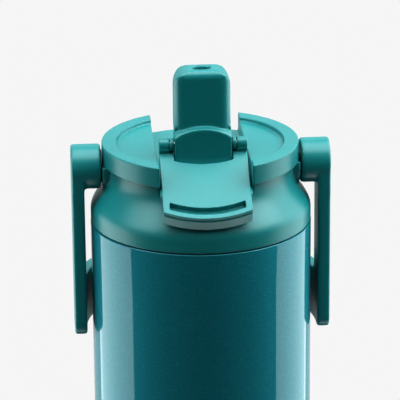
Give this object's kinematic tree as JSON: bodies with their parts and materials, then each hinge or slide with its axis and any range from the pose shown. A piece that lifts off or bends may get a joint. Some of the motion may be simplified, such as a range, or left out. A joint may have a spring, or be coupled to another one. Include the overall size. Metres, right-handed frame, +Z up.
{
  "type": "insulated water bottle",
  "caption": "Double-walled steel water bottle with a screw lid, flip-up straw spout under a hinged cover, and a swinging carry handle",
  "frame": {"origin": "centre of the base, on the table", "axes": "+Z up along the bottle, +X to the right seen from the drinking side, -Y towards the open cover"},
  "size_m": [0.0864, 0.0824, 0.2452],
  "materials": {
    "outer_shell": "gloss pearlescent paint",
    "inner_liner": "electropolished inside",
    "base_disc": "brushed",
    "vacuum_seal_bead": "dull solder",
    "getter": "pressed powder",
    "base_pad": "matte silicone",
    "lid_collar": "satin moulded",
    "thread_core": "moulded",
    "lid_gasket": "silicone",
    "lid_foam": "closed-cell foam",
    "top_deck": "satin moulded",
    "spout": "satin moulded",
    "spout_seal": "silicone",
    "flip_cover": "satin moulded",
    "hinge_pins": "drawn",
    "straw_adapter": "silicone",
    "straw": "translucent",
    "vent_valve": "silicone",
    "handle": "satin moulded",
    "pivot_pins": "turned",
    "pivot_washers": "low-friction plastic",
    "pivot_caps": "satin moulded"
  },
  "bodies": {
    "bottle": {"outer_shell": "outer_shell", "inner_liner": "inner_liner", "base_disc": "base_disc", "vacuum_seal_bead": "vacuum_seal_bead", "getter": "getter", "base_pad": "base_pad"},
    "seal_ring": {"lid_gasket": "lid_gasket"},
    "lid": {"lid_collar": "lid_collar", "thread_core": "thread_core", "lid_foam": "lid_foam", "top_deck": "top_deck", "spout_seal": "spout_seal", "hinge_pins": "hinge_pins", "straw_adapter": "straw_adapter", "straw": "straw", "vent_valve": "vent_valve", "pivot_pins": "pivot_pins", "pivot_washers": "pivot_washers", "pivot_caps": "pivot_caps"},
    "handle": {"handle": "handle"},
    "cover": {"flip_cover": "flip_cover"},
    "spout": {"spout": "spout"}
  },
  "joints": [
    {"name": "lid_lift", "type": "slide", "parent": "bottle", "child": "seal_ring", "axis": [0, 0, 1], "range_m": [0, 0.00451]},
    {"name": "lid_turn", "type": "hinge", "parent": "seal_ring", "child": "lid", "pos_m": [0, 0, 0.19], "axis": [0, 0, 1], "range_deg": [0, 540]},
    {"name": "handle_swing", "type": "hinge", "parent": "lid", "child": "handle", "pos_m": [0, 0, 0.2093], "axis": [1, 0, 0], "range_deg": [0, 180]},
    {"name": "cover_flip", "type": "hinge", "parent": "lid", "child": "cover", "pos_m": [0, -0.0132, 0.2203], "axis": [-1, 0, 0], "range_deg": [0, 230]},
    {"name": "spout_flip", "type": "hinge", "parent": "lid", "child": "spout", "pos_m": [0, -0.0132, 0.2203], "axis": [-1, 0, 0], "range_deg": [0, 110.1]}
  ],
  "couplings": [
    {"joint": "lid_lift", "follows": "lid_turn", "m_per_rad": 0.00047746},
    {"joint": "spout_flip", "follows": "cover_flip", "ratio": 0.47826}
  ]
}
